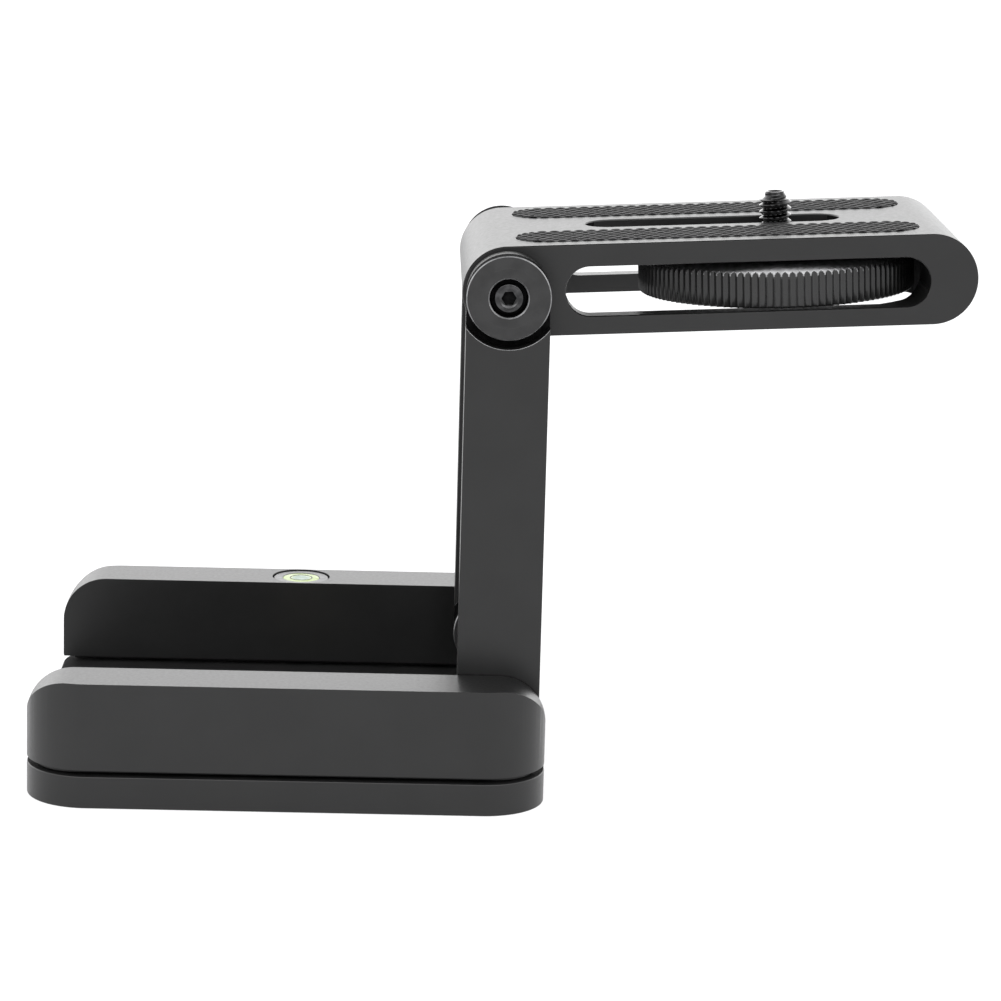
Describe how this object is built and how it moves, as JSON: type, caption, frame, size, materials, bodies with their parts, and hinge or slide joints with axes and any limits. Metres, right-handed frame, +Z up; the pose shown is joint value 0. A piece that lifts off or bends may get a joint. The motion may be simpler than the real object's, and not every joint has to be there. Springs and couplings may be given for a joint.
{
  "type": "folding tilt head",
  "caption": "Folding Z-shaped tilt head: base with two rails, hinged arm bars and a slotted top plate with a knurled-wheel camera screw and bubble level.",
  "frame": {"origin": "below the middle of the outer box, on the plane the base stands on", "axes": "+X from the folded base's free end towards the hinge end and the top plate's free end, +Y across the head, +Z up"},
  "size_m": [0.1806, 0.0966, 0.1153],
  "materials": {
    "black_anodised": "satin black anodised, fine bead-blasted",
    "knurled_black": "black anodised, knurled rim",
    "turned_black": "black anodised, turned face",
    "dark_steel": "black oxide",
    "plain_steel": "machined",
    "bronze": "plain",
    "brass_bush": "machined",
    "washer_plastic": "plain",
    "collar_plastic": "plain",
    "grip_rubber": "embossed basket pattern",
    "level_body": "clear moulded",
    "level_fluid": "green level fluid",
    "level_lens": "clear"
  },
  "bodies": {
    "base": {"base_pivot_far_bush": "bronze", "base_pivot_far_disc": "turned_black", "base_pivot_far_friction_washer": "washer_plastic", "base_pivot_far_screw": "dark_steel", "base_pivot_far_spring_washer": "dark_steel", "base_pivot_near_bush": "bronze", "base_pivot_near_disc": "turned_black", "base_pivot_near_friction_washer": "washer_plastic", "base_pivot_near_screw": "dark_steel", "base_pivot_near_spring_washer": "dark_steel", "base_plate": "black_anodised", "level_cup": "level_body", "level_fluid": "level_fluid", "level_lens": "level_lens", "rail_far": "black_anodised", "rail_near": "black_anodised", "rail_screw_far_1": "dark_steel", "rail_screw_far_2": "dark_steel", "rail_screw_far_3": "dark_steel", "rail_screw_near_1": "dark_steel", "rail_screw_near_2": "dark_steel", "rail_screw_near_3": "dark_steel", "reducer_bush": "brass_bush", "tripod_insert": "plain_steel"},
    "arms": {"arm_far": "black_anodised", "arm_near": "black_anodised"},
    "plate": {"grip_strip_far": "grip_rubber", "grip_strip_near": "grip_rubber", "top_pivot_far_bush": "bronze", "top_pivot_far_disc": "turned_black", "top_pivot_far_friction_washer": "washer_plastic", "top_pivot_far_screw": "dark_steel", "top_pivot_far_spring_washer": "dark_steel", "top_pivot_near_bush": "bronze", "top_pivot_near_disc": "turned_black", "top_pivot_near_friction_washer": "washer_plastic", "top_pivot_near_screw": "dark_steel", "top_pivot_near_spring_washer": "dark_steel", "top_plate": "black_anodised"},
    "carriage": {"slide_collar": "collar_plastic"},
    "wheel": {"camera_wheel": "knurled_black", "camera_screw": "dark_steel"}
  },
  "joints": [
    {"name": "base_tilt", "type": "hinge", "parent": "base", "child": "arms", "pos_m": [0.00038, 0, 0.0165], "axis": [0, 1, 0], "range_deg": [-90, 90]},
    {"name": "plate_tilt", "type": "hinge", "parent": "arms", "child": "plate", "pos_m": [0.00038, 0, 0.09806], "axis": [0, 1, 0], "range_deg": [-86.9, 93.1]},
    {"name": "screw_slide", "type": "slide", "parent": "plate", "child": "carriage", "axis": [0.9985, 0, 0.0541], "range_m": [-0.024, 0.0022]},
    {"name": "wheel_turn", "type": "hinge", "parent": "carriage", "child": "wheel", "pos_m": [0.05401, 0, 0.10096], "axis": [-0.0541, 0, 0.9985], "continuous": true}
  ]
}
